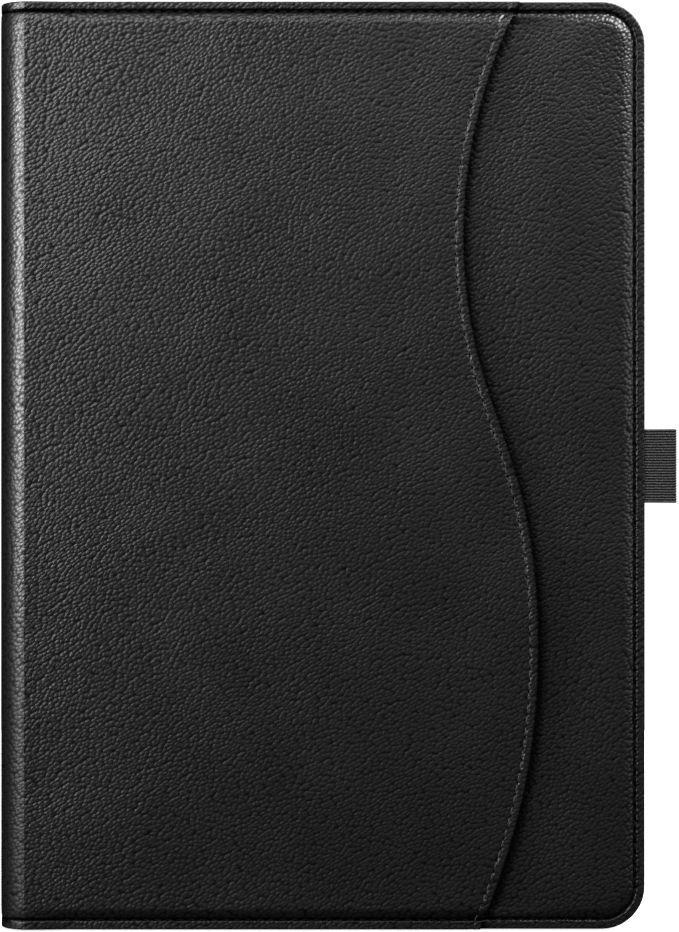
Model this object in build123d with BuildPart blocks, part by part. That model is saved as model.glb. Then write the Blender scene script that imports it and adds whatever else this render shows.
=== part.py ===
"""Folio tablet case, closed and standing on its bottom edge, in millimetres.

X runs from the spine to the fore edge, Y from the front cover to the back cover, Z up.
The front cover turns on a soft crease beside the spine, and the spine turns on a second
crease beside the back cover, so the case opens like a book and folds right back.
"""

import os

from build123d import *

os.makedirs("parts", exist_ok=True)

# Overall size
CASE_W = 181.2
CASE_H = 260.0
CASE_T = 17.0
LOOP_REACH = 9.2
CORNER_R = 12.0
CREASE_REACH = 7.5
CREASE_DEPTH = 6.5
END_TRIM = 0.5

# Sheet materials
LEATHER = 0.9
HEM = 0.3
FRONT_FOAM = 0.6
FRONT_BOARD = 1.2
FRONT_LINING = 0.6
BACK_LINING = 0.5
BACK_BOARD = 1.3
BACK_FOAM = 0.4
SPINE_LINING = 0.6

# Tablet the tray is made for, and the tray round it
TABLET_W = 165.5
TABLET_H = 253.0
TABLET_R = 8.0
CAVITY_DEPTH = 6.6
FIT_GAP = 0.2
TRAY_WALL = 1.6
TRAY_BACK = 1.1
LIP_T = 1.0
LIP_OVERHANG = 2.0
LINER_T = 0.3
LINER_INSET = 0.4
COVER_GAP = 0.4
FORE_EDGE_GAP = 2.2

# Edge seam of both covers: a flat rim, a stitched groove, a shoulder up to the padded middle
SEAM_INSET = 2.8
GROOVE_W = 0.8
GROOVE_D = 0.4
THREAD_W = 0.5
THREAD_T = 0.35
SHOULDER_W = 2.4
BOARD_INSET = 4.0
LINING_INSET = 1.2
PANEL_RISE = 0.8
BASE_RISE = 0.5
BACK_RISE = 0.7

# Front pocket: the free edge of the upper panel as (x, z), and its stitch line
POCKET_EDGE = [
    (56.3, 270.0),
    (51.0, 260.0),
    (40.8, 234.0),
    (35.1, 193.0),
    (39.5, 159.0),
    (50.2, 125.5),
    (56.0, 79.0),
    (50.7, 33.0),
    (39.8, 0.0),
    (35.8, -10.0),
]
POCKET_STITCH_INSET = 2.4
HEM_INSET = 0.4
HEM_W = 6.0

# Pen loop of folded elastic
LOOP_LOW = 119.5
LOOP_WIDTH = 20.7
LOOP_DEPTH = 8.5
LOOP_T = 0.75
LOOP_R = 1.2
LOOP_GAP = 0.2

# Closing magnets in the front cover and the steel plates they meet in the tray wall
MAGNET_SIZE = (4.5, 1.0, 20.0)
MAGNET_X = 78.4
MAGNET_HEIGHTS = (70.0, 190.0)
KEEPER_SIZE = (0.8, 4.0, 18.0)

# Camera window
CAMERA_X = 64.5
CAMERA_Z = 238.0
CAMERA_WINDOW = 24.0
CAMERA_R = 5.0
BEZEL_WALL = 2.0
BEZEL_GAP = 0.1

# Openings in the tray walls
PORT_SIZE = (15.0, 5.6)
PORT_R = 2.0
SPEAKER_SLOT = (3.2, 1.4)
SPEAKER_PITCH = 3.4
SPEAKER_COUNT = 5
SPEAKER_X = 52.0

# Button caps: a slot-shaped head through the wall, a wider flange held behind a ledge
BUTTON_L = 12.2
BUTTON_W = 3.2
BUTTON_GAP = 0.3
BUTTON_PROUD = 0.6
BUTTON_EDGE_R = 0.25
FLANGE_MARGIN = 0.7
FLANGE_T = 0.5
LEDGE_T = 0.9
LEDGE_GAP = 0.1
RECESS_MARGIN = 1.1
POWER_X = 56.5
VOLUME_UP_Z = 222.0
VOLUME_DOWN_Z = 206.0

# Where everything falls along X
X_LEFT = -(CASE_W + LOOP_REACH) / 2
X_RIGHT = X_LEFT + CASE_W
X_CREASE = X_LEFT + CREASE_REACH

# Where every layer falls along Y, from the front of the case to the back
Y_FRONT = -CASE_T / 2
Y_PANEL_IN = Y_FRONT + LEATHER
Y_BASE_OUT = Y_PANEL_IN + HEM
Y_BASE_IN = Y_BASE_OUT + LEATHER
Y_BOARD_OUT = Y_BASE_IN + FRONT_FOAM
Y_FRONT_LINING = Y_BOARD_OUT + FRONT_BOARD
Y_COVER_IN = Y_FRONT_LINING + FRONT_LINING
Y_LIP = Y_COVER_IN + COVER_GAP
Y_CAVITY = Y_LIP + LIP_T
Y_LINER = Y_CAVITY + CAVITY_DEPTH
Y_TRAY_FLOOR = Y_LINER + LINER_T
Y_TRAY_BACK = Y_TRAY_FLOOR + TRAY_BACK
Y_BACK_BOARD = Y_TRAY_BACK + BACK_LINING
Y_BACK_FOAM = Y_BACK_BOARD + BACK_BOARD
Y_BACK_LEATHER = Y_BACK_FOAM + BACK_FOAM
Y_BACK = Y_BACK_LEATHER + LEATHER

# Levels of the seam rims
Y_PANEL_RIM = Y_FRONT + PANEL_RISE
Y_BASE_RIM = Y_PANEL_RIM + LEATHER
Y_BACK_RIM = Y_BACK - BACK_RISE

# The spine is as deep as what the two creases leave of the thickness
SPINE_HALF = CASE_T / 2 - CREASE_DEPTH
SPINE_LAYERS = [LEATHER, FRONT_FOAM, FRONT_BOARD, SPINE_LINING]

GROOVE_INNER = SEAM_INSET + GROOVE_W / 2
SHOULDER_INSET = GROOVE_INNER + SHOULDER_W

# Tray centre and outline
CAVITY_W = TABLET_W + 2 * FIT_GAP
CAVITY_H = TABLET_H + 2 * FIT_GAP
CAVITY_R = TABLET_R + FIT_GAP
TRAY_W = CAVITY_W + 2 * TRAY_WALL
TRAY_H = CAVITY_H + 2 * TRAY_WALL
TRAY_R = CAVITY_R + TRAY_WALL
TRAY_X = X_RIGHT - FORE_EDGE_GAP - TRAY_W / 2
TRAY_Z = CASE_H / 2
TRAY_RIGHT = TRAY_X + TRAY_W / 2
TRAY_TOP = TRAY_Z + TRAY_H / 2
TRAY_BOTTOM = TRAY_Z - TRAY_H / 2
TRAY_MID_Y = (Y_CAVITY + Y_LINER) / 2

# Adhesive sheet between the back board and the tray
BOND_SIZE = (130.0, 190.0)
BOND_CENTRE = (-7.5, 117.0)

# Points a little beyond the pocket edge line, to build lines beside it
EDGE_CURVE = Spline(POCKET_EDGE)
EDGE_STEPS = 24


def at_depth(y):
    """Plane facing the front of the case, at depth y."""
    return Plane.XZ.offset(-y)


def cover_outline(y, inset):
    """Outline of a cover, square at the crease and set in from its other three edges."""
    with BuildSketch(at_depth(y)) as sketch:
        with Locations(((X_CREASE + X_RIGHT - inset) / 2, CASE_H / 2)):
            Rectangle(X_RIGHT - inset - X_CREASE, CASE_H - 2 * inset)
        fillet(sketch.vertices().group_by(Axis.X)[-1], radius=CORNER_R - inset)
    return sketch.sketch


def cover_slab(y_front, y_back, inset, mode=Mode.ADD):
    """Flat layer of a cover between two depths."""
    extrude(cover_outline(y_back, inset), amount=y_back - y_front, mode=mode)


def cover_puff(y_low, low_inset, y_high, mode=Mode.ADD):
    """Padded middle of a cover, rising from y_low to y_high over the shoulder."""
    loft([cover_outline(y_low, low_inset), cover_outline(y_high, SHOULDER_INSET)], mode=mode)


def cover_band(y_front, y_back, width, mode=Mode.ADD):
    """Strip of the given width centred on the edge seam, between two depths."""
    with BuildSketch(at_depth(y_back)) as sketch:
        add(cover_outline(0, SEAM_INSET - width / 2))
        add(cover_outline(0, SEAM_INSET + width / 2), mode=Mode.SUBTRACT)
    extrude(sketch.sketch, amount=y_back - y_front, mode=mode)


def beside_pocket_edge(inset):
    """Points of the line that lies inset from the pocket edge, towards the spine."""
    points = []
    for step in range(EDGE_STEPS + 1):
        place = EDGE_CURVE.position_at(step / EDGE_STEPS)
        along = EDGE_CURVE.tangent_at(step / EDGE_STEPS)
        points.append((place.X + inset * along.Y, place.Y - inset * along.X))
    return points


def pocket_side(y, inset):
    """Everything on the spine side of the line that lies inset from the pocket edge."""
    points = POCKET_EDGE if inset == 0 else beside_pocket_edge(inset)
    top = points[0]
    bottom = points[-1]
    with BuildSketch(at_depth(y)) as sketch:
        with BuildLine():
            Spline(points)
            Polyline([bottom, (X_CREASE, bottom[1]), (X_CREASE, top[1]), top])
        make_face()
    return sketch.sketch


def pocket_band(y_front, y_back, inset, width, mode=Mode.ADD):
    """Strip that follows the pocket edge, centred on the given inset."""
    with BuildSketch(at_depth(y_back)) as sketch:
        add(pocket_side(0, inset - width / 2))
        add(pocket_side(0, inset + width / 2), mode=Mode.SUBTRACT)
    extrude(sketch.sketch, amount=y_back - y_front, mode=mode)


def square_window(y_front, y_back, size, radius, mode=Mode.SUBTRACT):
    """Rounded square through the back cover at the camera."""
    with BuildSketch(at_depth(y_back)) as sketch:
        with Locations((CAMERA_X, CAMERA_Z)):
            RectangleRounded(size, size, radius)
    extrude(sketch.sketch, amount=y_back - y_front, mode=mode)


def camera_cut():
    """Window for the camera bezel through the layers of the back cover."""
    size = CAMERA_WINDOW + 2 * (BEZEL_WALL + BEZEL_GAP)
    square_window(Y_TRAY_BACK - 1, Y_BACK + 1, size, CAMERA_R + BEZEL_WALL + BEZEL_GAP)


def tray_slab(y_front, y_back, width, height, radius, mode=Mode.ADD):
    """Rounded rectangle centred on the tablet, between two depths."""
    with BuildSketch(at_depth(y_back)) as sketch:
        with Locations((TRAY_X, TRAY_Z)):
            RectangleRounded(width, height, radius)
    extrude(sketch.sketch, amount=y_back - y_front, mode=mode)


def crease_strip(side, outer, inner):
    """Quarter-ring strip of a crease. side is -1 at the front and 1 at the back.

    outer and inner are the strip's half-axes along X and Y about the crease centre.
    """
    centre = (X_CREASE, side * SPINE_HALF)
    with BuildSketch(Plane.XY.offset(END_TRIM)) as sketch:
        with Locations(centre):
            Ellipse(*outer)
            Ellipse(*inner, mode=Mode.SUBTRACT)
        with Locations((centre[0] - CREASE_REACH / 2, centre[1] + side * CREASE_DEPTH / 2)):
            Rectangle(CREASE_REACH, CREASE_DEPTH, mode=Mode.INTERSECT)
    extrude(sketch.sketch, amount=CASE_H - 2 * END_TRIM)


def spine_layer(first, count):
    """Flat strip of the spine, made of count layers from the first one inwards."""
    start = X_LEFT + sum(SPINE_LAYERS[:first])
    depth = sum(SPINE_LAYERS[first:first + count])
    with BuildSketch(Plane.XY.offset(END_TRIM)) as sketch:
        with Locations((start + depth / 2, 0)):
            Rectangle(depth, 2 * SPINE_HALF)
    extrude(sketch.sketch, amount=CASE_H - 2 * END_TRIM)


def button_slot(plane, margin, near, far, mode):
    """Slot-shaped block on a button's own plane, between two distances from the wall."""
    with BuildSketch(plane.offset(near)) as sketch:
        SlotOverall(BUTTON_L + 2 * margin, BUTTON_W + 2 * margin)
    extrude(sketch.sketch, amount=far - near, mode=mode)


def button_cut(plane):
    """Opening for a button cap, with the wider recess for its flange."""
    button_slot(plane, BUTTON_GAP, -TRAY_WALL - 1, 1, Mode.SUBTRACT)
    button_slot(plane, RECESS_MARGIN, -TRAY_WALL - 1, -LEDGE_T, Mode.SUBTRACT)


def button_cap(plane):
    """Button cap with its flange, seen from the plane of the tray's outer wall."""
    head = -LEDGE_T - LEDGE_GAP
    button_slot(plane, 0, head, BUTTON_PROUD, Mode.ADD)
    button_slot(plane, FLANGE_MARGIN, head - FLANGE_T, head, Mode.ADD)


def plain_block(size, centre, mode=Mode.ADD):
    """Box of the given size about a point."""
    with Locations(centre):
        Box(*size, mode=mode)


POWER_PLANE = Plane(origin=(POWER_X, TRAY_MID_Y, TRAY_TOP), x_dir=(1, 0, 0), z_dir=(0, 0, 1))
VOLUME_UP_PLANE = Plane(
    origin=(TRAY_RIGHT, TRAY_MID_Y, VOLUME_UP_Z), x_dir=(0, 0, 1), z_dir=(1, 0, 0)
)
VOLUME_DOWN_PLANE = Plane(
    origin=(TRAY_RIGHT, TRAY_MID_Y, VOLUME_DOWN_Z), x_dir=(0, 0, 1), z_dir=(1, 0, 0)
)

# Front cover: the upper panel, whose free edge is the mouth of the slip pocket
with BuildPart() as pocket_panel:
    cover_slab(Y_PANEL_RIM, Y_BASE_RIM, 0)
    cover_puff(Y_PANEL_RIM, GROOVE_INNER, Y_FRONT)
    cover_puff(Y_BASE_RIM, GROOVE_INNER, Y_PANEL_IN, mode=Mode.SUBTRACT)
    cover_band(Y_PANEL_RIM, Y_PANEL_RIM + GROOVE_D, GROOVE_W, mode=Mode.SUBTRACT)
    extrude(pocket_side(0, 0), amount=CASE_T, both=True, mode=Mode.INTERSECT)
    pocket_band(
        Y_FRONT, Y_FRONT + GROOVE_D, POCKET_STITCH_INSET, GROOVE_W, mode=Mode.SUBTRACT
    )

# Turned-under edge of the panel, skived thin
with BuildPart() as pocket_hem:
    pocket_band(Y_PANEL_IN, Y_BASE_OUT, HEM_INSET + HEM_W / 2, HEM_W)
    cover_slab(Y_FRONT, Y_BACK, SHOULDER_INSET, mode=Mode.INTERSECT)

# Thread of the pocket edge, lying in its groove
with BuildPart() as pocket_thread:
    pocket_band(
        Y_FRONT + GROOVE_D - THREAD_T, Y_FRONT + GROOVE_D, POCKET_STITCH_INSET, THREAD_W
    )
    cover_slab(Y_FRONT, Y_BACK, SHOULDER_INSET, mode=Mode.INTERSECT)

# Thread of the edge seam: on the panel where there is one, on the base leather elsewhere
with BuildPart() as rim_thread_panel:
    cover_band(
        Y_PANEL_RIM + GROOVE_D - THREAD_T, Y_PANEL_RIM + GROOVE_D, THREAD_W
    )
    extrude(pocket_side(0, 0), amount=CASE_T, both=True, mode=Mode.INTERSECT)
with BuildPart() as rim_thread_base:
    cover_band(Y_BASE_RIM + GROOVE_D - THREAD_T, Y_BASE_RIM + GROOVE_D, THREAD_W)
    extrude(pocket_side(0, 0), amount=CASE_T, both=True, mode=Mode.SUBTRACT)

# Base leather of the front cover, its edge turned over so that the rim fills its thickness
LOOP_TAIL_Y = Y_FRONT_LINING - 2 * LOOP_T
LOOP_MID_Z = LOOP_LOW + LOOP_WIDTH / 2
with BuildPart() as front_base_leather:
    cover_slab(Y_BASE_RIM, Y_FRONT_LINING, 0)
    cover_puff(Y_BASE_RIM, GROOVE_INNER, Y_BASE_OUT)
    cover_slab(Y_BOARD_OUT, Y_FRONT_LINING, BOARD_INSET, mode=Mode.SUBTRACT)
    cover_puff(Y_BOARD_OUT, BOARD_INSET, Y_BASE_IN, mode=Mode.SUBTRACT)
    with BuildSketch(at_depth(Y_BASE_RIM + GROOVE_D)) as bare_groove:
        add(cover_outline(0, SEAM_INSET - GROOVE_W / 2))
        add(cover_outline(0, SEAM_INSET + GROOVE_W / 2), mode=Mode.SUBTRACT)
        add(pocket_side(0, 0), mode=Mode.SUBTRACT)
    extrude(amount=GROOVE_D, mode=Mode.SUBTRACT)
    plain_block(
        (BOARD_INSET, 2 * LOOP_T, LOOP_WIDTH),
        (X_RIGHT - BOARD_INSET / 2, LOOP_TAIL_Y + LOOP_T, LOOP_MID_Z),
        mode=Mode.SUBTRACT,
    )

with BuildPart() as front_foam:
    cover_puff(Y_BOARD_OUT, BOARD_INSET, Y_BASE_IN)

MAGNET_Y = Y_FRONT_LINING - MAGNET_SIZE[1] / 2
with BuildPart() as front_board:
    cover_slab(Y_BOARD_OUT, Y_FRONT_LINING, BOARD_INSET)
    for height in MAGNET_HEIGHTS:
        plain_block(MAGNET_SIZE, (MAGNET_X, MAGNET_Y, height), mode=Mode.SUBTRACT)

with BuildPart() as front_lining:
    cover_slab(Y_FRONT_LINING, Y_COVER_IN, LINING_INSET)

with BuildPart() as magnet_lower:
    plain_block(MAGNET_SIZE, (MAGNET_X, MAGNET_Y, MAGNET_HEIGHTS[0]))

with BuildPart() as magnet_upper:
    plain_block(MAGNET_SIZE, (MAGNET_X, MAGNET_Y, MAGNET_HEIGHTS[1]))

# Pen loop: a folded strip of elastic with both ends sewn between base leather and lining
LOOP_LEFT = X_RIGHT + LOOP_GAP
LOOP_SPAN = LOOP_REACH - LOOP_GAP
LOOP_CENTRE = (LOOP_LEFT + LOOP_SPAN / 2, LOOP_TAIL_Y + LOOP_DEPTH / 2)
with BuildPart() as pen_loop:
    with BuildSketch(Plane.XY.offset(LOOP_LOW)):
        with Locations(LOOP_CENTRE):
            RectangleRounded(LOOP_SPAN, LOOP_DEPTH, LOOP_R)
        with Locations((X_RIGHT - BOARD_INSET, LOOP_TAIL_Y)):
            Rectangle(BOARD_INSET + LOOP_R + LOOP_T, 2 * LOOP_T, align=(Align.MIN, Align.MIN))
        with Locations(LOOP_CENTRE):
            RectangleRounded(
                LOOP_SPAN - 2 * LOOP_T,
                LOOP_DEPTH - 2 * LOOP_T,
                LOOP_R - LOOP_T,
                mode=Mode.SUBTRACT,
            )
    extrude(amount=LOOP_WIDTH)

# Spine: four flat layers between the two creases
with BuildPart() as spine_leather:
    spine_layer(0, 1)

with BuildPart() as spine_foam:
    spine_layer(1, 1)

with BuildPart() as spine_board:
    spine_layer(2, 1)

with BuildPart() as spine_lining:
    spine_layer(3, 1)

# Creases: outer leather, soft filling and lining, all bent through a quarter turn. Each pair
# is a half-axis along X and one along Y
CREASE_OUT = (CREASE_REACH, CREASE_DEPTH)
CREASE_IN = (CREASE_REACH - LEATHER, CREASE_DEPTH - LEATHER)
LINING_OUT = CREASE_REACH - LEATHER - FRONT_FOAM - FRONT_BOARD
LINING_IN = LINING_OUT - SPINE_LINING
FRONT_LINING_OUT = (LINING_OUT, -SPINE_HALF - Y_FRONT_LINING)
FRONT_LINING_IN = (LINING_IN, -SPINE_HALF - Y_COVER_IN)
BACK_LINING_OUT = (LINING_OUT, Y_BACK_BOARD - SPINE_HALF)
BACK_LINING_IN = (LINING_IN, Y_TRAY_BACK - SPINE_HALF)

with BuildPart() as front_crease_leather:
    crease_strip(-1, CREASE_OUT, CREASE_IN)

with BuildPart() as front_crease_filling:
    crease_strip(-1, CREASE_IN, FRONT_LINING_OUT)

with BuildPart() as front_crease_lining:
    crease_strip(-1, FRONT_LINING_OUT, FRONT_LINING_IN)

with BuildPart() as back_crease_leather:
    crease_strip(1, CREASE_OUT, CREASE_IN)

with BuildPart() as back_crease_filling:
    crease_strip(1, CREASE_IN, BACK_LINING_OUT)

with BuildPart() as back_crease_lining:
    crease_strip(1, BACK_LINING_OUT, BACK_LINING_IN)

# Back cover, built like the front one but with a single leather
with BuildPart() as back_leather:
    cover_slab(Y_BACK_BOARD, Y_BACK_RIM, 0)
    cover_puff(Y_BACK_RIM, GROOVE_INNER, Y_BACK)
    cover_slab(Y_BACK_BOARD, Y_BACK_FOAM, BOARD_INSET, mode=Mode.SUBTRACT)
    cover_puff(Y_BACK_FOAM, BOARD_INSET, Y_BACK_LEATHER, mode=Mode.SUBTRACT)
    cover_band(Y_BACK_RIM - GROOVE_D, Y_BACK_RIM, GROOVE_W, mode=Mode.SUBTRACT)
    camera_cut()

with BuildPart() as rim_thread_back:
    cover_band(Y_BACK_RIM - GROOVE_D, Y_BACK_RIM - GROOVE_D + THREAD_T, THREAD_W)

with BuildPart() as back_foam:
    cover_puff(Y_BACK_FOAM, BOARD_INSET, Y_BACK_LEATHER)
    camera_cut()

with BuildPart() as back_board:
    cover_slab(Y_BACK_BOARD, Y_BACK_FOAM, BOARD_INSET)
    camera_cut()

with BuildPart() as back_lining:
    cover_slab(Y_TRAY_BACK, Y_BACK_BOARD, LINING_INSET)
    camera_cut()
    with BuildSketch(at_depth(Y_BACK_BOARD)):
        with Locations(BOND_CENTRE):
            Rectangle(*BOND_SIZE)
    extrude(amount=BACK_LINING, mode=Mode.SUBTRACT)

# Adhesive sheet that holds the tray to the back board through a window in the lining
with BuildPart() as tray_bond:
    with BuildSketch(at_depth(Y_BACK_BOARD)):
        with Locations(BOND_CENTRE):
            Rectangle(*BOND_SIZE)
    extrude(amount=BACK_LINING)

# Moulded ring that finishes the camera window
with BuildPart() as camera_bezel:
    square_window(
        Y_TRAY_BACK, Y_BACK, CAMERA_WINDOW + 2 * BEZEL_WALL, CAMERA_R + BEZEL_WALL, mode=Mode.ADD
    )
    square_window(Y_TRAY_BACK, Y_BACK, CAMERA_WINDOW, CAMERA_R)

# Tray: a soft shell that grips the tablet under a narrow lip
KEEPER_X = TRAY_RIGHT - TRAY_WALL / 2
KEEPER_Y = Y_CAVITY + KEEPER_SIZE[1] / 2
SPEAKER_ENDS = (TRAY_BOTTOM + TRAY_WALL / 2, TRAY_TOP - TRAY_WALL / 2)
with BuildPart() as tray:
    tray_slab(Y_LIP, Y_TRAY_BACK, TRAY_W, TRAY_H, TRAY_R)
    fillet(tray.faces().sort_by(Axis.Y)[0].outer_wire().edges(), radius=LIP_T * 0.8)
    tray_slab(Y_CAVITY, Y_TRAY_FLOOR, CAVITY_W, CAVITY_H, CAVITY_R, mode=Mode.SUBTRACT)
    tray_slab(
        Y_LIP - 1,
        Y_CAVITY,
        CAVITY_W - 2 * LIP_OVERHANG,
        CAVITY_H - 2 * LIP_OVERHANG,
        CAVITY_R - LIP_OVERHANG,
        mode=Mode.SUBTRACT,
    )
    square_window(Y_TRAY_FLOOR - 1, Y_TRAY_BACK + 1, CAMERA_WINDOW, CAMERA_R)
    with BuildSketch(Plane.XY.offset(TRAY_BOTTOM - 1)):
        with Locations((TRAY_X, TRAY_MID_Y)):
            RectangleRounded(*PORT_SIZE, PORT_R)
        with Locations((TRAY_X - SPEAKER_X, TRAY_MID_Y), (TRAY_X + SPEAKER_X, TRAY_MID_Y)):
            with GridLocations(SPEAKER_PITCH, 0, SPEAKER_COUNT, 1):
                SlotOverall(*SPEAKER_SLOT, rotation=90)
    extrude(amount=TRAY_WALL + 2, mode=Mode.SUBTRACT)
    with BuildSketch(Plane.XY.offset(TRAY_TOP - TRAY_WALL - 1)):
        with Locations((TRAY_X - SPEAKER_X, TRAY_MID_Y)):
            with GridLocations(SPEAKER_PITCH, 0, SPEAKER_COUNT, 1):
                SlotOverall(*SPEAKER_SLOT, rotation=90)
    extrude(amount=TRAY_WALL + 2, mode=Mode.SUBTRACT)
    button_cut(POWER_PLANE)
    button_cut(VOLUME_UP_PLANE)
    button_cut(VOLUME_DOWN_PLANE)
    for height in MAGNET_HEIGHTS:
        plain_block(KEEPER_SIZE, (KEEPER_X, KEEPER_Y, height), mode=Mode.SUBTRACT)

with BuildPart() as keeper_lower:
    plain_block(KEEPER_SIZE, (KEEPER_X, KEEPER_Y, MAGNET_HEIGHTS[0]))

with BuildPart() as keeper_upper:
    plain_block(KEEPER_SIZE, (KEEPER_X, KEEPER_Y, MAGNET_HEIGHTS[1]))

# Cloth sheet on the tray's floor, behind the tablet
with BuildPart() as tray_liner:
    tray_slab(
        Y_LINER,
        Y_TRAY_FLOOR,
        CAVITY_W - 2 * LINER_INSET,
        CAVITY_H - 2 * LINER_INSET,
        CAVITY_R - LINER_INSET,
    )
    square_window(Y_LINER - 1, Y_TRAY_FLOOR + 1, CAMERA_WINDOW, CAMERA_R)

with BuildPart() as power_button:
    button_cap(POWER_PLANE)
    fillet(power_button.faces().sort_by(Axis.Z)[-1].edges(), radius=BUTTON_EDGE_R)

with BuildPart() as volume_up_button:
    button_cap(VOLUME_UP_PLANE)
    fillet(volume_up_button.faces().sort_by(Axis.X)[-1].edges(), radius=BUTTON_EDGE_R)

with BuildPart() as volume_down_button:
    button_cap(VOLUME_DOWN_PLANE)
    fillet(volume_down_button.faces().sort_by(Axis.X)[-1].edges(), radius=BUTTON_EDGE_R)

PIECES = {
    "pocket_panel": pocket_panel,
    "pocket_hem": pocket_hem,
    "pocket_thread": pocket_thread,
    "rim_thread_panel": rim_thread_panel,
    "rim_thread_base": rim_thread_base,
    "front_base_leather": front_base_leather,
    "front_foam": front_foam,
    "front_board": front_board,
    "front_lining": front_lining,
    "magnet_lower": magnet_lower,
    "magnet_upper": magnet_upper,
    "pen_loop": pen_loop,
    "spine_leather": spine_leather,
    "spine_foam": spine_foam,
    "spine_board": spine_board,
    "spine_lining": spine_lining,
    "front_crease_leather": front_crease_leather,
    "front_crease_filling": front_crease_filling,
    "front_crease_lining": front_crease_lining,
    "back_crease_leather": back_crease_leather,
    "back_crease_filling": back_crease_filling,
    "back_crease_lining": back_crease_lining,
    "back_leather": back_leather,
    "rim_thread_back": rim_thread_back,
    "back_foam": back_foam,
    "back_board": back_board,
    "back_lining": back_lining,
    "tray_bond": tray_bond,
    "camera_bezel": camera_bezel,
    "tray": tray,
    "keeper_lower": keeper_lower,
    "keeper_upper": keeper_upper,
    "tray_liner": tray_liner,
    "power_button": power_button,
    "volume_up_button": volume_up_button,
    "volume_down_button": volume_down_button,
}
for name, piece in PIECES.items():
    piece.part.label = name
    export_step(piece.part, f"parts/{name}.step")
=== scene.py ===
"""Folio tablet case: the looks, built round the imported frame. Lengths inside this script are
in millimetres and become metres when a mesh is made."""
import math

import bpy
import numpy as np
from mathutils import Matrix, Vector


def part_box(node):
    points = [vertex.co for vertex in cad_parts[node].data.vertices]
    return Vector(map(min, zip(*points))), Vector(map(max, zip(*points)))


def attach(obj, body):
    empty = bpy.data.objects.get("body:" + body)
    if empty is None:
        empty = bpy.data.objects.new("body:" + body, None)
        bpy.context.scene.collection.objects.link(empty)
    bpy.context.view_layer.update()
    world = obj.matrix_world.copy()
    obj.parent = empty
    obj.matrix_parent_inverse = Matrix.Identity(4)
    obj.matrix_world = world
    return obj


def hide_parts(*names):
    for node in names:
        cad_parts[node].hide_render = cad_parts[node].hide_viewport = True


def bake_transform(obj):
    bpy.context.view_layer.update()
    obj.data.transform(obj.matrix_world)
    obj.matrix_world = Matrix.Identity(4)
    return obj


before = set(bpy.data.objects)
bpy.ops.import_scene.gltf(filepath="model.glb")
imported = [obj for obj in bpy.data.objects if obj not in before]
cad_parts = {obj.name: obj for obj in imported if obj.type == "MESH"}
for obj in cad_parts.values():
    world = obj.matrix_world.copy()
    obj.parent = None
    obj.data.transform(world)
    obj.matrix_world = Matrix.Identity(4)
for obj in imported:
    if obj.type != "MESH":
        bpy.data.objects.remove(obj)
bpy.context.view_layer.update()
MM = 0.001


def node_box(name):
    """Lowest and highest corner of a CAD node in millimetres."""
    low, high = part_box(name)
    return np.array(low) / MM, np.array(high) / MM


# Sizes read from the frame
PANEL_LOW = node_box("pocket_panel")[0]
BASE_LOW, BASE_HIGH = node_box("front_base_leather")
BACK_LOW, BACK_HIGH = node_box("back_leather")
SPINE_LOW, SPINE_HIGH = node_box("spine_leather")
LINING_HIGH = node_box("front_lining")[1]
LOOP_LOW, LOOP_HIGH = node_box("pen_loop")
X_LEFT = SPINE_LOW[0]
X_CREASE = PANEL_LOW[0]
X_RIGHT = BASE_HIGH[0]
HEIGHT = BASE_HIGH[2]
Y_FRONT = PANEL_LOW[1]
Y_BASE = BASE_LOW[1]
Y_BASE_IN = BASE_HIGH[1]
Y_COVER_IN = LINING_HIGH[1]
Y_BACK = BACK_HIGH[1]
Y_BACK_IN = BACK_LOW[1]
SPINE_HALF = SPINE_HIGH[1]
CREASE_RX = X_CREASE - X_LEFT
CREASE_RY = -Y_FRONT - SPINE_HALF

# Sizes that follow part.py
CORNER_R = 12.0
LEATHER = 0.9
HEM = 0.3
HEM_REACH = 6.4
PANEL_RISE = 0.8
BASE_RISE = 0.5
BACK_RISE = 0.7
SPINE_RISE = 0.12
SWELL = 0.60
CREASE_SHARE = 0.3
EDGE_LIFT = 0.40
EDGE_DIP = 0.30
LINING_INSET = 1.2
LINING_T = 0.6
ROLL_R = 0.42
SEAM = 2.8
END_TRIM = 0.1
POCKET_EDGE = np.array([
    (56.3, 270.0), (51.0, 260.0), (40.8, 234.0), (35.1, 193.0), (39.5, 159.0),
    (50.2, 125.5), (56.0, 79.0), (50.7, 33.0), (39.8, 0.0), (35.8, -10.0),
])
POCKET_STITCH = 2.4
STITCH_PITCH = 3.2
THREAD_SINK = 0.42
CAMERA_X, CAMERA_Z, CAMERA_HOLE = 64.5, 238.0, 28.2
CAMERA_R = 7.1
BACK_PATTERN = 210
LINER_R, LINER_HOLE = 7.8, 24.0


# ---------------------------------------------------------------- small maths
def smooth(t):
    t = np.clip(t, 0.0, 1.0)
    return t * t * (3.0 - 2.0 * t)


def lattice_noise(x, z, size, seed):
    """Smooth noise from -1 to 1 with features of about size millimetres."""
    table = np.random.RandomState(seed).uniform(-1, 1, (64, 64))
    u, v = np.asarray(x) / size + 200.0, np.asarray(z) / size + 200.0
    iu, iv = np.floor(u).astype(int), np.floor(v).astype(int)
    fu, fv = smooth(u - iu), smooth(v - iv)
    a, b = table[iu % 64, iv % 64], table[(iu + 1) % 64, iv % 64]
    c, d = table[iu % 64, (iv + 1) % 64], table[(iu + 1) % 64, (iv + 1) % 64]
    return (a * (1 - fu) + b * fu) * (1 - fv) + (c * (1 - fu) + d * fu) * fv


def undulation(x, z, seed=3):
    """Slight unevenness of leather over padding."""
    slant_u, slant_v = x * 0.8 + z * 0.6, z * 0.8 - x * 0.6
    return (
        0.022 * lattice_noise(x, z, 34.0, seed)
        + 0.008 * lattice_noise(slant_u / 1.8, slant_v, 7.5, seed + 1)
        + 0.008 * lattice_noise(slant_u / 2.0, slant_v, 3.4, seed + 2)
    )


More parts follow.
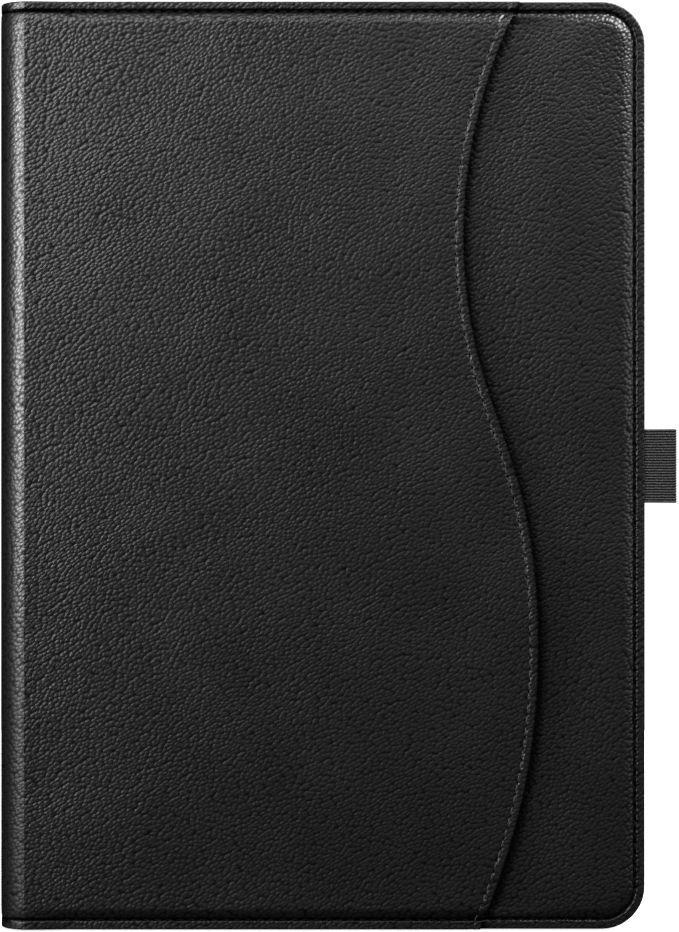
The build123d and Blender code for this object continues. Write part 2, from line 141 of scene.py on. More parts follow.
def spline_of(points):
    """Natural cubic spline x(z) through points, as a function giving value and slope."""
    pts = points[np.argsort(points[:, 1])]
    xs, zs = pts[:, 0], pts[:, 1]
    n, h = len(zs), np.diff(pts[:, 1])
    m = np.eye(n)
    rhs = np.zeros(n)
    for i in range(1, n - 1):
        m[i, i - 1:i + 2] = h[i - 1], 2 * (h[i - 1] + h[i]), h[i]
        rhs[i] = 6 * ((xs[i + 1] - xs[i]) / h[i] - (xs[i] - xs[i - 1]) / h[i - 1])
    second = np.linalg.solve(m, rhs)

    def value(z):
        z = np.asarray(z, float)
        k = np.clip(np.searchsorted(zs, z) - 1, 0, n - 2)
        a, b = (zs[k + 1] - z) / h[k], (z - zs[k]) / h[k]
        x = a * xs[k] + b * xs[k + 1] + (
            (a ** 3 - a) * second[k] + (b ** 3 - b) * second[k + 1]) * h[k] ** 2 / 6
        slope = (xs[k + 1] - xs[k]) / h[k] + (
            -(3 * a ** 2 - 1) * second[k] + (3 * b ** 2 - 1) * second[k + 1]) * h[k] / 6
        return x, slope
    return value


pocket_x = spline_of(POCKET_EDGE)


# ---------------------------------------------------------------- profiles of the leather
def edge_drop(d, r):
    """How far a rounded edge of radius r falls away at distance d from it."""
    gap = np.clip(r - d, 0.0, r)
    return r - np.sqrt(np.maximum(r * r - gap * gap, 0.0))


def seam_groove(d, depth=0.5):
    return depth * np.exp(-((d - SEAM) / 0.42) ** 2)


def shoulder(d, width=3.4):
    """From 0 at the seam to 1 on the padded middle, steep at first like a stuffed edge."""
    s = np.clip((d - SEAM - 0.1) / width, 0.0, 1.0)
    return 1.0 - (1.0 - s) ** 1.6


def relief(d, rise, swell=0.0, crown=0.0):
    """How far the leather lies below its level at distance d from the outline."""
    low = (rise + swell) * (1.0 - shoulder(d)) - swell
    return low + edge_drop(d, ROLL_R) + seam_groove(d) - crown * smooth((d - 5.0) / 26.0)


def pressed_and_shade(d):
    """How dark and dull the leather is along the seam: partly pressed leather, partly painted shade of the
    seam groove.
    """
    groove = np.exp(-((d - SEAM + 0.06) / 0.45) ** 4)
    return np.maximum(groove, 0.55 * np.exp(-((d - SEAM + 0.6) / 0.35) ** 2))


def panel_rim(x):
    """How far the panel's rim lies below its middle: less where the leather nears the spine."""
    share = CREASE_SHARE + (1 - CREASE_SHARE) * smooth((x - X_CREASE) / 14)
    return (PANEL_RISE + SWELL) * share


def panel_level(x, z, t):
    """Depth of the upper panel at a point t from its free edge, stitch pinches left out."""
    d = np.minimum(z, HEIGHT - z)
    inward = smooth((x - X_CREASE) / 25)
    curl = EDGE_LIFT * (1 - smooth(t / 22)) * smooth((d - 2.5) / 6)
    crown = 0.15 * inward * smooth((d - 5) / 26) * smooth((t - 2) / 16)
    return Y_FRONT + panel_rim(x) * (1 - shoulder(d)) - SWELL - crown - curl


def trim_at(x):
    """The outline draws in a little towards the spine, where the creases end short."""
    return END_TRIM * smooth((-70.0 - x) / 18.0)


def drawn_in(x, z, d):
    """Heights z at distance d from the outline, drawn in at the spine end."""
    pull = trim_at(x) * np.clip(1 - d / CORNER_R, 0, 1)
    return np.where(z > HEIGHT / 2, z - pull, z + pull)


# ---------------------------------------------------------------- mesh helpers
def make(name, verts, faces, material, grain=None, sharp=50.0, press_and_shade=None):
    mesh = bpy.data.meshes.new(name)
    mesh.from_pydata((np.asarray(verts) * MM).tolist(), [], [tuple(int(i) for i in f) for f in faces])
    mesh.validate()
    mesh.shade_smooth()
    if sharp:
        mesh.set_sharp_from_angle(angle=math.radians(sharp))
    obj = bpy.data.objects.new(name, mesh)
    bpy.context.scene.collection.objects.link(obj)
    if grain is None:
        grain = np.asarray(verts)
    layer = mesh.attributes.new("grain", "FLOAT_VECTOR", "POINT")
    layer.data.foreach_set("vector", np.asarray(grain, np.float32).ravel())
    # Darkening attribute: painted shade along seams and edges, partly pressed leather.
    if press_and_shade is not None:
        press_and_shade = np.tile(np.asarray(press_and_shade, np.float32).ravel(), len(verts) // np.size(press_and_shade))
        mesh.attributes.new("pressed_and_shade", "FLOAT", "POINT").data.foreach_set("value", press_and_shade)
    mesh.materials.append(material)
    return obj


def laid_flat(verts):
    """Pattern coordinates of a flat layer: across, up, and depth."""
    return verts[:, [0, 2, 1]]


def grid_faces(rows, cols, start=0, flip=False):
    i, j = np.meshgrid(np.arange(rows - 1), np.arange(cols - 1), indexing="ij")
    a = (start + i * cols + j).ravel()
    quads = np.stack([a, a + 1, a + cols + 1, a + cols], 1)
    return quads[:, ::-1] if flip else quads


def levels(*spans):
    """Distances from 0, in spans of (upto, step)."""
    out, at = [0.0], 0.0
    for upto, step in spans:
        n = max(1, round((upto - at) / step))
        out += list(at + (upto - at) * (k + 1) / n for k in range(n))
        at = upto
    return np.array(out)


EDGE_LEVELS = levels((0.12, 0.06), (0.48, 0.12), (1.8, 0.4), (6.4, 0.22), (12.0, 0.8))


class Cover:
    """Mesh pattern of a cover: rings inside a rounded outline, round a plain grid.

    Every point knows its place (x, z) and its distance d from the outline.
    """

    def __init__(self, step, inset=0.0, rings=EDGE_LEVELS):
        xc, low, high = X_RIGHT - CORNER_R, CORNER_R, HEIGHT - CORNER_R
        nx, nz, na = round((xc - X_CREASE) / step), round((high - low) / step), 14
        xs, zs = np.linspace(X_CREASE, xc, nx + 1), np.linspace(high, low, nz + 1)
        angle = np.linspace(math.pi / 2, 0, na + 1)[1:-1]
        base, normal = [], []
        for x in xs:
            base.append((x, HEIGHT)), normal.append((0, 1))
        for a in angle:
            base.append((xc + CORNER_R * math.cos(a), high + CORNER_R * math.sin(a)))
            normal.append((math.cos(a), math.sin(a)))
        for z in zs:
            base.append((X_RIGHT, z)), normal.append((1, 0))
        for a in angle[::-1]:
            base.append((xc + CORNER_R * math.cos(a), low - CORNER_R * math.sin(a)))
            normal.append((math.cos(a), -math.sin(a)))
        for x in xs[::-1]:
            base.append((x, 0.0)), normal.append((0, -1))
        base, normal = np.array(base), np.array(normal)
        gx, gz = np.meshgrid(xs, zs)
        grid = np.stack([gx.ravel(), gz.ravel()], 1)
        inner = np.minimum(np.minimum(X_RIGHT - gx, gz), HEIGHT - gz).ravel()
        at = np.arange((nx + 1) * (nz + 1)).reshape(nz + 1, nx + 1)
        last = np.concatenate([
            at[0], np.full(na - 1, at[0, -1]), at[:, -1], np.full(na - 1, at[-1, -1]),
            at[-1, ::-1],
        ])
        depth = [d for d in rings if inset <= d < CORNER_R - 1e-6]
        if depth[0] > inset:
            depth = [inset, *depth]
        points, dist, index = [grid], [inner], []
        count = len(grid)
        for d in depth:
            points.append(base - d * normal)
            dist.append(np.full(len(base), d))
            index.append(np.arange(count, count + len(base)))
            count += len(base)
        index.append(last)
        faces = [grid_faces(nz + 1, nx + 1).tolist()]
        for upper, lower in zip(index[:-1], index[1:]):
            ring = []
            for j in range(len(base) - 1):
                quad = [upper[j], upper[j + 1], lower[j + 1], lower[j]]
                ring.append(quad if lower[j] != lower[j + 1] else quad[:3])
            faces.append(ring)
        self.points, self.d = np.concatenate(points), np.concatenate(dist)
        self.faces = [f for part in faces for f in part]
        self.rim = index[0]
        self.left_top = [ring[0] for ring in index[:-1]] + list(at[:, 0])
        self.left_low = [ring[-1] for ring in index[:-1]]
        self.left = self.left_top + self.left_low[::-1]
        self.x = self.points[:, 0]
        self.z = drawn_in(self.x, self.points[:, 1], self.d)

    def shell(self, y_outer, y_inner, front=True):
        """Closed shell between two depth fields: (vertices, faces)."""
        n = len(self.points)
        outer = np.stack([self.x, y_outer, self.z], 1)
        inner = np.stack([self.x, y_inner, self.z], 1)
        faces = [tuple(f) for f in self.faces]
        faces = [f[::-1] for f in faces] if front else faces
        inside = [tuple(i + n for i in f[::-1]) for f in faces]
        loop = list(self.rim) + self.left[::-1][1:-1]
        wall = []
        for a, b in zip(loop, loop[1:] + loop[:1]):
            quad = (a, b, b + n, a + n)
            wall.append(quad if front else quad[::-1])
        return np.concatenate([outer, inner]), faces + inside + wall


# ---------------------------------------------------------------- materials
def node_material(name):
    mat = bpy.data.materials.new(name)
    mat.use_nodes = True
    tree = mat.node_tree
    shader = tree.nodes["Principled BSDF"]
    return mat, tree, shader


def add_node(tree, kind, **values):
    node = tree.nodes.new(kind)
    for key, value in values.items():
        if hasattr(node, key) and key not in node.inputs:
            setattr(node, key, value)
        else:
            node.inputs[key].default_value = value
    return node


def link(tree, a, b):
    tree.links.new(a, b)


def maths(tree, operation, a, b=None, c=None, clamp=False):
    node = tree.nodes.new("ShaderNodeMath")
    node.operation, node.use_clamp = operation, clamp
    for k, v in enumerate((a, b, c)):
        if v is None:
            continue
        if isinstance(v, (int, float)):
            node.inputs[k].default_value = v
        else:
            link(tree, v, node.inputs[k])
    return node.outputs[0]


def ramp(tree, value, stops):
    node = tree.nodes.new("ShaderNodeValToRGB")
    link(tree, value, node.inputs[0])
    ends = node.color_ramp.elements
    for k, (at, colour) in enumerate(stops):
        e = ends[k] if k < 2 else ends.new(at)
        e.position = at
        e.color = (*colour, 1)
    return node.outputs[0]


def raise_surface(tree, shader, height, depth, strength=1.0):
    """Bump from a height socket, its depth in millimetres."""
    bump = add_node(tree, "ShaderNodeBump", Strength=strength, Distance=depth * MM)
    link(tree, height, bump.inputs["Height"])
    link(tree, bump.outputs["Normal"], shader.inputs["Normal"])


def grain_coordinates(tree, turn, scale):
    """Flat leather coordinates in millimetres, turned and scaled."""
    source = add_node(tree, "ShaderNodeAttribute", attribute_name="grain")
    mapping = tree.nodes.new("ShaderNodeMapping")
    mapping.vector_type = "TEXTURE"
    mapping.inputs["Rotation"].default_value = (0, 0, math.radians(turn))
    mapping.inputs["Scale"].default_value = scale
    link(tree, source.outputs["Vector"], mapping.inputs["Vector"])
    return source.outputs["Vector"], mapping.outputs["Vector"]


def warp(tree, vector, scale, amount):
    """Coordinates pushed about by noise."""
    noise = add_node(tree, "ShaderNodeTexNoise", Scale=scale, Detail=2.0)
    link(tree, vector, noise.inputs["Vector"])
    off = add_node(tree, "ShaderNodeVectorMath", operation="SUBTRACT")
    link(tree, noise.outputs["Color"], off.inputs[0])
    off.inputs[1].default_value = (0.5, 0.5, 0.5)
    grow = add_node(tree, "ShaderNodeVectorMath", operation="SCALE", Scale=amount)
    link(tree, off.outputs[0], grow.inputs[0])
    total = add_node(tree, "ShaderNodeVectorMath", operation="ADD")
    link(tree, vector, total.inputs[0])
    link(tree, grow.outputs[0], total.inputs[1])
    return total.outputs[0]


def leather(name, depth=0.20, rough=0.36, tint=(0.010, 0.010, 0.010), shine=0.9):
    """Black pebbled synthetic leather: small slanted cells, with painted shade in the valleys and painted
    shade where the mesh's darkening attribute is set.
    """
    mat, tree, shader = node_material(name)
    flat, slanted = grain_coordinates(tree, 30, (1.38, 0.98, 1.0))
    bent = warp(tree, warp(tree, slanted, 0.02, 8.0), 0.7, 0.32)
    cells = add_node(tree, "ShaderNodeTexVoronoi", feature="SMOOTH_F1", voronoi_dimensions="2D",
                     Scale=1.0, Smoothness=0.3, Randomness=0.85)
    link(tree, bent, cells.inputs["Vector"])
    fine = add_node(tree, "ShaderNodeTexNoise", noise_dimensions="2D", Scale=1.5, Detail=2.0)
    link(tree, bent, fine.inputs["Vector"])
    reach = cells.outputs["Distance"]
    dome = maths(tree, "SUBTRACT", 1.0, maths(tree, "POWER", reach, 1.6))
    uneven = maths(tree, "SUBTRACT", fine.outputs["Fac"], 0.5)
    height = maths(tree, "MULTIPLY_ADD", uneven, 0.2, dome)
    raise_surface(tree, shader, height, depth)
    wear = add_node(tree, "ShaderNodeTexNoise", Scale=0.04, Detail=3.0)
    link(tree, flat, wear.inputs["Vector"])
    press_and_shade = add_node(tree, "ShaderNodeAttribute", attribute_name="pressed_and_shade").outputs["Fac"]
    # Colour tone: random wear, painted shade in the grain valleys from the height, less the painted shade of
    # the darkening attribute.
    tone = maths(tree, "MULTIPLY_ADD", maths(tree, "SUBTRACT", wear.outputs["Fac"], 0.5), 0.12, height)
    tone = maths(tree, "SUBTRACT", tone, press_and_shade)
    valley_shade_colour = tuple(c * 0.12 for c in tint)
    link(tree, ramp(tree, tone, [(0.35, valley_shade_colour), (1.1, tint)]), shader.inputs["Base Color"])
    worn = maths(tree, "MULTIPLY_ADD", wear.outputs["Fac"], 0.10, rough + 0.05)
    gloss = maths(tree, "MULTIPLY_ADD", height, -0.15, worn)
    link(tree, gloss, shader.inputs["Roughness"])
    free = maths(tree, "SUBTRACT", 1.0, press_and_shade, clamp=True)
    sheen = maths(tree, "MULTIPLY", maths(tree, "MULTIPLY_ADD", height, 0.8, 0.05, clamp=True), shine * 1.3)
    link(tree, maths(tree, "MULTIPLY", sheen, free), shader.inputs["Specular IOR Level"])
    return mat


def cloth(name, tint, pitch=0.5, depth=0.05, rough=0.9, sheen=0.25):
    """Brushed microfibre or similar fabric."""
    mat, tree, shader = node_material(name)
    flat, slanted = grain_coordinates(tree, 45, (pitch, pitch, pitch))
    weave = add_node(tree, "ShaderNodeTexVoronoi", feature="SMOOTH_F1",
                     voronoi_dimensions="2D", Scale=1.0, Smoothness=0.5, Randomness=0.35)
    link(tree, slanted, weave.inputs["Vector"])
    nap = add_node(tree, "ShaderNodeTexNoise", Scale=0.12, Detail=5.0, Roughness=0.65)
    link(tree, flat, nap.inputs["Vector"])
    fuzz = add_node(tree, "ShaderNodeTexNoise", Scale=6.0, Detail=2.0)
    link(tree, flat, fuzz.inputs["Vector"])
    height = maths(tree, "MULTIPLY_ADD", fuzz.outputs["Fac"], 0.6,
                   maths(tree, "SUBTRACT", 1.0, weave.outputs["Distance"]))
    raise_surface(tree, shader, height, depth, 0.8)
    tone = maths(tree, "MULTIPLY_ADD", nap.outputs["Fac"], 0.7,
                 maths(tree, "MULTIPLY", fuzz.outputs["Fac"], 0.4))
    dark = tuple(c * 0.6 for c in tint)
    link(tree, ramp(tree, tone, [(0.35, dark), (0.75, tint)]), shader.inputs["Base Color"])
    shader.inputs["Roughness"].default_value = rough
    shader.inputs["Sheen Weight"].default_value = sheen
    return mat


def speckled(name, tint, scale, depth, rough, contrast=0.35, metallic=0.0, stretch=None):
    """Moulded plastic, board, metal and the like: fine texture with slight colour change."""
    mat, tree, shader = node_material(name)
    source = tree.nodes.new("ShaderNodeTexCoord")
    mapping = tree.nodes.new("ShaderNodeMapping")
    mapping.inputs["Scale"].default_value = stretch or (1, 1, 1)
    link(tree, source.outputs["Object"], mapping.inputs["Vector"])
    grit = add_node(tree, "ShaderNodeTexNoise", Scale=scale, Detail=4.0, Roughness=0.6)
    link(tree, mapping.outputs["Vector"], grit.inputs["Vector"])
    cloud = add_node(tree, "ShaderNodeTexNoise", Scale=scale / 40, Detail=3.0)
    link(tree, mapping.outputs["Vector"], cloud.inputs["Vector"])
    raise_surface(tree, shader, grit.outputs["Fac"], depth, 0.7)
    tone = maths(tree, "MULTIPLY_ADD", cloud.outputs["Fac"], 0.6,
                 maths(tree, "MULTIPLY", grit.outputs["Fac"], 0.4))
    dark = tuple(c * (1 - contrast) for c in tint)
    link(tree, ramp(tree, tone, [(0.3, dark), (0.7, tint)]), shader.inputs["Base Color"])
    gloss = maths(tree, "MULTIPLY_ADD", grit.outputs["Fac"], 0.2, rough - 0.1)
    link(tree, gloss, shader.inputs["Roughness"])
    shader.inputs["Metallic"].default_value = metallic
    return mat


def twisted(name, tint, rough=0.55, shine=0.4):
    """Twisted thread: slanted ridges along each stitch, with painted shade in the grooves between them."""
    mat, tree, shader = node_material(name)
    source = add_node(tree, "ShaderNodeAttribute", attribute_name="grain")
    wave = add_node(tree, "ShaderNodeTexWave", Scale=0.9, Distortion=0.6)
    link(tree, source.outputs["Vector"], wave.inputs["Vector"])
    fuzz = add_node(tree, "ShaderNodeTexNoise", Scale=5.0, Detail=2.0)
    link(tree, source.outputs["Vector"], fuzz.inputs["Vector"])
    height = maths(tree, "MULTIPLY_ADD", fuzz.outputs["Fac"], 0.4, wave.outputs["Fac"])
    raise_surface(tree, shader, height, 0.05, 0.8)
    # Painted shade: the colour follows the height, darker in the twist grooves.
    dark = tuple(c * 0.4 for c in tint)
    link(tree, ramp(tree, height, [(0.2, dark), (1.0, tint)]), shader.inputs["Base Color"])
    shader.inputs["Roughness"].default_value = rough
    shader.inputs["Specular IOR Level"].default_value = shine
    return mat


LEATHER_MAT = leather("pebbled_leather")
SPINE_MAT = leather("stretched_leather", depth=0.10, rough=0.40, shine=1.05)
EDGE_MAT = leather("painted_edge", depth=0.05, rough=0.55, tint=(0.008, 0.008, 0.008))
CLOTH_MAT = cloth("microfibre", (0.030, 0.030, 0.032))
LINER_MAT = cloth("tray_cloth", (0.034, 0.034, 0.036), pitch=0.7)
THREAD_MAT = twisted("edge_thread", (0.08, 0.08, 0.08), rough=0.6)
# Edge seam thread, darker than the pocket thread: painted shade of the seam groove it lies in.
SEAM_SHADE_MAT = twisted("shaded_seam_thread", (0.005, 0.005, 0.005), rough=0.8, shine=0.15)
# Near-black, unshiny leather for the needle holes: painted shade of the holes.
HOLE_SHADE_MAT = leather("needle_hole_shade", depth=0.02, rough=0.9, tint=(0.001, 0.001, 0.001), shine=0.0)
TRAY_MAT = speckled("moulded_tray", (0.016, 0.016, 0.017), 1500, 0.02, 0.52)
BUTTON_MAT = speckled("button_plastic", (0.022, 0.022, 0.023), 2500, 0.01, 0.42)
BEZEL_MAT = speckled("bezel_plastic", (0.012, 0.012, 0.012), 2200, 0.012, 0.35)
BOARD_MAT = speckled("grey_board", (0.30, 0.27, 0.22), 700, 0.04, 0.85, stretch=(1, 1, 0.3))
STEEL_MAT = speckled("plated_steel", (0.55, 0.55, 0.56), 900, 0.006, 0.32, 0.15, 1.0, (1, 1, 0.05))
BOND_MAT = speckled("adhesive", (0.55, 0.55, 0.52), 500, 0.03, 0.6)


def settle(obj, body, slot, *nodes):
    """The piece rides on a body and stands for CAD nodes, which it hides; slot is not used."""
    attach(obj, body)
    if nodes:
        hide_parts(*nodes)


# ---------------------------------------------------------------- front cover
cover = Cover(step=1.5)

# Base leather
beyond = cover.x - pocket_x(cover.z)[0]
dip = (0.45 + EDGE_DIP) * (1 - smooth((beyond + 1.0) / 30.0)) * smooth((cover.d - 3.5) / 3.0)
bulge = 0.20 * smooth((beyond - 3.0) / 20.0) * smooth((cover.d - SEAM) / 6.0)
base_out = (
    Y_BASE + relief(cover.d, BASE_RISE, swell=0.45) + dip - bulge
    + undulation(cover.x, cover.z, 11) * smooth(cover.d / 5)
)
base_in = np.full(len(cover.d), Y_BASE_IN) - 0.15 * (cover.d < 0.05)
verts, faces = cover.shell(base_out, base_in)
# Painted shadow of the pocket panel's edge on the base: dark just beside the edge, then a soft wide fall-off.
shade = 0.60 * np.exp(-(beyond / 1.2) ** 2) + 0.20 * np.exp(-(beyond / 8.0) ** 2)
front_base = make("front_base_skin", verts, faces, LEATHER_MAT, laid_flat(verts),
                  press_and_shade=np.maximum(pressed_and_shade(cover.d), np.where(beyond > -3, shade, 0)))
settle(front_base, "front_cover", "leather", "front_base_leather", "front_foam")


def end_levels():
    """Heights of the rows shared by the panel, the creases and the spine."""
    low = EDGE_LEVELS[:-1]
    middle = np.linspace(12.0, HEIGHT - 12.0, 160)
    return np.concatenate([low, middle, HEIGHT - low[::-1]])


ROWS = end_levels()
ROW_D = np.minimum(ROWS, HEIGHT - ROWS)


def closed_strip(outer, inner):
    """Closed shell from two matching grids of points, rows by columns."""
    rows, cols = outer.shape[:2]
    n = rows * cols
    verts = np.concatenate([outer.reshape(-1, 3), inner.reshape(-1, 3)])
    faces = list(grid_faces(rows, cols)) + list(grid_faces(rows, cols, n, flip=True))
    for j in range(cols - 1):
        a, b = j, (rows - 1) * cols + j
        faces.append((a + 1, a, a + n, a + n + 1))
        faces.append((b, b + 1, b + n + 1, b + n))
    for i in range(rows - 1):
        a, b = i * cols, i * cols + cols - 1
        faces.append((a, a + cols, a + cols + n, a + n))
        faces.append((b + cols, b, b + n, b + n + cols))
    return verts, faces


# Upper panel: columns run from the crease to the pocket edge, dense near the edge
EDGE_COLUMNS = levels((0.1, 0.05), (0.5, 0.13), (4.0, 0.25), (9.0, 0.8))[::-1]
inner_columns = np.linspace(0, 1, 92)[:-1]
z_rows = ROWS[:, None]
edge_x, slope = pocket_x(ROWS)
stretch = np.sqrt(1 + slope ** 2)[:, None]
near = edge_x[:, None] - EDGE_COLUMNS[None, :] * stretch
far = X_CREASE + inner_columns[None, :] * (near[:, :1] - X_CREASE)
panel_x = np.concatenate([far, near], 1)
panel_d = ROW_D[:, None] + 0 * panel_x
panel_z = drawn_in(panel_x, z_rows, panel_d)
panel_t = np.concatenate([
    (near[:, :1] - far) / stretch + EDGE_COLUMNS[0], EDGE_COLUMNS[None, :] + 0 * near], 1)
arc = np.concatenate([[0], np.cumsum(np.hypot(np.diff(edge_x), np.diff(ROWS)))])[:, None]
level = panel_level(panel_x, z_rows, panel_t)
stitch_phase = np.cos(2 * math.pi * arc / STITCH_PITCH)
pinch = (0.14 + 0.08 * np.clip(stitch_phase, 0, 1)) * np.exp(-((panel_t - POCKET_STITCH) / 0.42) ** 2)
free = smooth(panel_d / 5)
panel_out = (
    level + seam_groove(panel_d) + edge_drop(panel_d, ROLL_R) + edge_drop(panel_t, 0.3) + pinch
    + undulation(panel_x, panel_z) * free * smooth((panel_x - X_CREASE) / 10)
)
hem = HEM * (1 - smooth((panel_t - HEM_REACH + 0.6) / 0.6)) * smooth((panel_d - 3.2) / 2.2)
panel_in = level + (PANEL_RISE + SWELL - panel_rim(panel_x)) * (1 - shoulder(panel_d)) + LEATHER + hem
panel_out = np.minimum(panel_out, panel_in - 0.12)
verts, faces = closed_strip(np.stack([panel_x, panel_out, panel_z], 2),
                            np.stack([panel_x, panel_in, panel_z], 2))
# Painted shade: the seam groove, and the panel's cut edge at the pocket darkened so it shows no lit rim.
panel = make("pocket_panel_skin", verts, faces, LEATHER_MAT, laid_flat(verts),
             press_and_shade=np.maximum(pressed_and_shade(panel_d), 0.9 * np.exp(-(panel_t / 0.35) ** 2)))
settle(panel, "front_cover", "leather", "pocket_panel", "pocket_hem")


# ---------------------------------------------------------------- stitches
def stitch_run(name, points, normals, body, slot, material, nodes, radius=0.18, fill=0.76,
               lift=0.12, sink=0.5):
    """One small bowed tube for each stitch between neighbouring needle holes."""
    rings, sides = 7, 8
    verts, faces, grain = [], [], []
    count = len(points) - 1
    for k in range(count):
        a, b = points[k], points[k + 1]
        along = b - a
        length = np.linalg.norm(along)
        along = along / length
        out = normals[k]
        side = np.cross(along, out)
        start = len(verts)
        for i in range(rings):
            s = i / (rings - 1)
            reach = (1 - fill) / 2 + fill * s
            dip = abs(2 * s - 1) ** 3
            centre = a + along * length * reach + out * (lift - sink * dip)
            thick = radius * (1.0 - 0.35 * dip)
            for j in range(sides):
                angle = 2 * math.pi * j / sides
                verts.append(centre + thick * (math.cos(angle) * side + math.sin(angle) * out * 0.8))
                grain.append((s * 3 + math.sin(angle) * 0.5, k * 7.0, angle))
        for i in range(rings - 1):
            for j in range(sides):
                p, q = start + i * sides + j, start + i * sides + (j + 1) % sides
                faces.append((p, q, q + sides, p + sides))
        faces.append(tuple(start + j for j in range(sides))[::-1])
        faces.append(tuple(start + (rings - 1) * sides + j for j in range(sides)))
    settle(make(name, verts, faces, material, grain, sharp=0), body, slot, *nodes)


def pocket_stitches():
    """Needle holes of the pocket edge, evenly spaced along it, with the surface level there."""
    z = np.linspace(0.9, HEIGHT - 0.9, 1600)
    x, slant = pocket_x(z)
    length = np.sqrt(1 + slant ** 2)
    px, pz = x - POCKET_STITCH / length, z + POCKET_STITCH * slant / length
    s = np.concatenate([[0], np.cumsum(np.hypot(np.diff(px), np.diff(pz)))])
    holes = np.linspace(0, s[-1], round(s[-1] / STITCH_PITCH) + 1)
    hx, hz = np.interp(holes, s, px), np.interp(holes, s, pz)
    d = np.minimum(hz, HEIGHT - hz)
    y = panel_level(hx, hz, POCKET_STITCH) + 0.14 + seam_groove(d)
    return np.stack([hx, y, hz], 1)


holes = pocket_stitches()
outward = np.tile((0.0, -1.0, 0.0), (len(holes), 1))
stitch_run("pocket_stitches", holes, outward, "front_cover", "thread", THREAD_MAT, ("pocket_thread",))


def needle_holes(name, points, out, body, radius=0.33):
    """Shallow dimples where the thread goes through the leather, coloured near black as painted shade of the
    holes.
    """
    verts, faces = [], []
    for p in points:
        start = len(verts)
        verts.append(p + (0, out * 0.07, 0))
        for y, r in ((0.05, 0.6), (0.0, 1.0), (-0.3, 0.7)):
            for k in range(8):
                a = math.pi * k / 4
                verts.append(p + (radius * r * math.cos(a), out * y, radius * r * math.sin(a)))
        for k in range(8):
            n = (k + 1) % 8
            faces.append((start, start + 1 + k, start + 1 + n))
            for ring in (1, 9):
                faces.append((start + ring + k, start + ring + 8 + k, start + ring + 8 + n, start + ring + n))
        faces.append(tuple(start + 17 + k for k in range(8)))
    if out > 0:
        faces = [f[::-1] for f in faces]
    settle(make(name, verts, faces, HOLE_SHADE_MAT, sharp=0), body, "leather")


needle_holes("pocket_holes", holes[1:-1], -1.0, "front_cover")


def seam_stitches(level, keep):
    """Needle holes of the edge seam at a depth, in runs where keep holds."""
    xc, r = X_RIGHT - CORNER_R, CORNER_R - SEAM
    line = [(X_CREASE + 0.5, HEIGHT - SEAM - END_TRIM)]
    line += [(X_CREASE + 18, HEIGHT - SEAM)]
    turn = np.linspace(0, math.pi / 2, 20)
    line += [(xc + r * math.cos(a), HEIGHT - CORNER_R + r * math.sin(a)) for a in turn[::-1]]
    line += [(xc + r * math.cos(a), CORNER_R - r * math.sin(a)) for a in turn]
    line += [(X_CREASE + 18, SEAM), (X_CREASE + 0.5, SEAM + END_TRIM)]
    line = np.array(line)
    s = np.concatenate([[0], np.cumsum(np.hypot(*np.diff(line, axis=0).T))])
    at = np.linspace(0, s[-1], round(s[-1] / STITCH_PITCH) + 1)
    x, z = np.interp(at, s, line[:, 0]), np.interp(at, s, line[:, 1])
    wanted = keep(x, z)
    runs, now = [], []
    for ok, px, pz in zip(wanted, x, z):
        if ok:
            now.append((px, level, pz))
        elif now:
            runs.append(np.array(now))
            now = []
    if now:
        runs.append(np.array(now))
    return [r for r in runs if len(r) > 1]


def seam_piece(name, runs, out, body, nodes):
    for k, run in enumerate(runs):
        normals = np.tile((0.0, out, 0.0), (len(run), 1))
        stitch_run(f"{name}_{k + 1}", run, normals, body, "thread", SEAM_SHADE_MAT, nodes,
                   radius=0.20, lift=0.0, sink=0.3)
        needle_holes(f"{name}_{k + 1}_holes", run, out, body, radius=0.42)


on_panel = seam_stitches(Y_FRONT + PANEL_RISE + THREAD_SINK, lambda x, z: x < pocket_x(z)[0] - 0.6)
on_base = seam_stitches(Y_BASE + BASE_RISE + THREAD_SINK, lambda x, z: x > pocket_x(z)[0] + 0.6)
on_back = seam_stitches(Y_BACK - BACK_RISE - THREAD_SINK, lambda x, z: x > X_CREASE)
seam_piece("panel_seam", on_panel, -1.0, "front_cover", ("rim_thread_panel",))
seam_piece("base_seam", on_base, -1.0, "front_cover", ("rim_thread_base",))
seam_piece("back_seam", on_back, 1.0, "back_cover", ("rim_thread_back",))

# Inner cloth of the front cover
flat_cover = Cover(step=4.0, inset=LINING_INSET, rings=np.array([1.2, 1.35, 1.6, 2.2, 4.0, 8.0, 12.0]))
soft_edge = edge_drop(flat_cover.d - LINING_INSET, 0.35)
verts, faces = flat_cover.shell(np.full(len(flat_cover.d), Y_BASE_IN), Y_COVER_IN - soft_edge)
front_cloth = make("front_cloth", verts, faces, CLOTH_MAT, laid_flat(verts))
settle(front_cloth, "front_cover", "lining", "front_lining")


# ---------------------------------------------------------------- back cover
def rounded_square_cutter(size, radius, y0, y1):
    """Prism through the back cover at the camera, used to cut windows."""
    outline = []
    h = size / 2 - radius
    for cx, cz, a0 in ((h, h, 0), (-h, h, 90), (-h, -h, 180), (h, -h, 270)):
        for k in range(9):
            a = math.radians(a0 + 90 * k / 8)
            outline.append((CAMERA_X + cx + radius * math.cos(a), CAMERA_Z + cz + radius * math.sin(a)))
    n = len(outline)
    verts = [(x, y0, z) for x, z in outline] + [(x, y1, z) for x, z in outline]
    faces = [tuple(range(n)), tuple(range(n, 2 * n))[::-1]]
    faces += [(k, k + n, (k + 1) % n + n, (k + 1) % n) for k in range(n)]
    mesh = bpy.data.meshes.new("cutter")
    mesh.from_pydata((np.array(verts) * MM).tolist(), [], faces)
    return bpy.data.objects.new("cutter", mesh)


